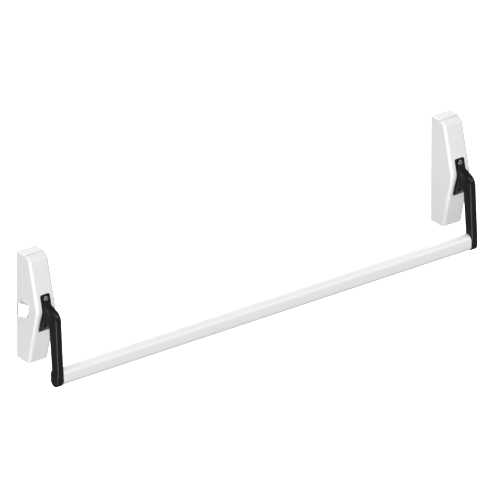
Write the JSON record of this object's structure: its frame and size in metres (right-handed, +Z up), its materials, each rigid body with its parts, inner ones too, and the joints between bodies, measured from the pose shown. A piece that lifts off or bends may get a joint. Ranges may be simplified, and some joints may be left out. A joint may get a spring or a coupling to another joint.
{
  "type": "panic exit bar",
  "caption": "Oval push bar on two hinged arms between slim door housings; pushing it turns a bell crank that draws in a bevelled side latch bolt.",
  "frame": {"origin": "on the door's face, at the centre of the latch-side chassis's back plate", "axes": "+X along the bar from the latch side to the idle side, +Y into the door, +Z up; the user stands on the -Y side"},
  "size_m": [1.0914, 0.1175, 0.266],
  "materials": {
    "white_coat": "satin white powder coat",
    "black_coat": "fine-textured black powder coat",
    "zinc_steel": "zinc-plated steel",
    "bright_nickel": "bright nickel plate",
    "spring_steel": "oiled spring steel",
    "silver_screw": "bright zinc-plated screw",
    "rubber": "matte moulded rubber",
    "nylon": "natural nylon"
  },
  "bodies": {
    "frame": {"left_cover": "white_coat", "left_chassis": "zinc_steel", "left_pivot_pin": "spring_steel", "left_pivot_clip_a": "spring_steel", "left_pivot_clip_b": "spring_steel", "left_pivot_bush_a": "nylon", "left_pivot_bush_b": "nylon", "left_return_spring": "spring_steel", "left_rest_stop": "rubber", "left_travel_stop": "rubber", "left_cover_screw": "zinc_steel", "right_cover": "white_coat", "right_chassis": "zinc_steel", "right_pivot_pin": "spring_steel", "right_pivot_clip_a": "spring_steel", "right_pivot_clip_b": "spring_steel", "right_pivot_bush_a": "nylon", "right_pivot_bush_b": "nylon", "right_return_spring": "spring_steel", "right_rest_stop": "rubber", "right_travel_stop": "rubber", "right_cover_screw": "zinc_steel", "latch_guide": "nylon", "guide_screw_lower": "zinc_steel", "guide_screw_upper": "zinc_steel", "crank_pin": "spring_steel", "crank_clip": "spring_steel", "latch_spring": "spring_steel"},
    "push_bar": {"push_tube": "white_coat", "left_arm": "black_coat", "left_arm_screw": "silver_screw", "left_grub_screw": "spring_steel", "left_rocker": "zinc_steel", "right_arm": "black_coat", "right_arm_screw": "silver_screw", "right_grub_screw": "spring_steel", "right_rocker": "zinc_steel"},
    "crank": {"bell_crank": "zinc_steel"},
    "latch": {"latch_bolt": "bright_nickel"}
  },
  "joints": [
    {"name": "bar_push", "type": "hinge", "parent": "frame", "child": "push_bar", "pos_m": [0, -0.03, 0.045], "axis": [1, 0, 0], "range_deg": [0, 18], "stiffness_Nm_per_rad": 3, "springref_deg": -34.38, "deforming": ["left_return_spring", "right_return_spring"]},
    {"name": "crank_turn", "type": "hinge", "parent": "frame", "child": "crank", "pos_m": [-0.002, -0.012, 0.009], "axis": [0, 0, 1], "range_deg": [0, 43.2]},
    {"name": "latch_slide", "type": "slide", "parent": "frame", "child": "latch", "axis": [1, 0, 0], "range_m": [0, 0.0118], "deforming": ["latch_spring"]}
  ],
  "couplings": [
    {"joint": "crank_turn", "follows": "bar_push", "ratio": 2.3889},
    {"joint": "latch_slide", "follows": "bar_push", "m_per_rad": 0.03724}
  ]
}
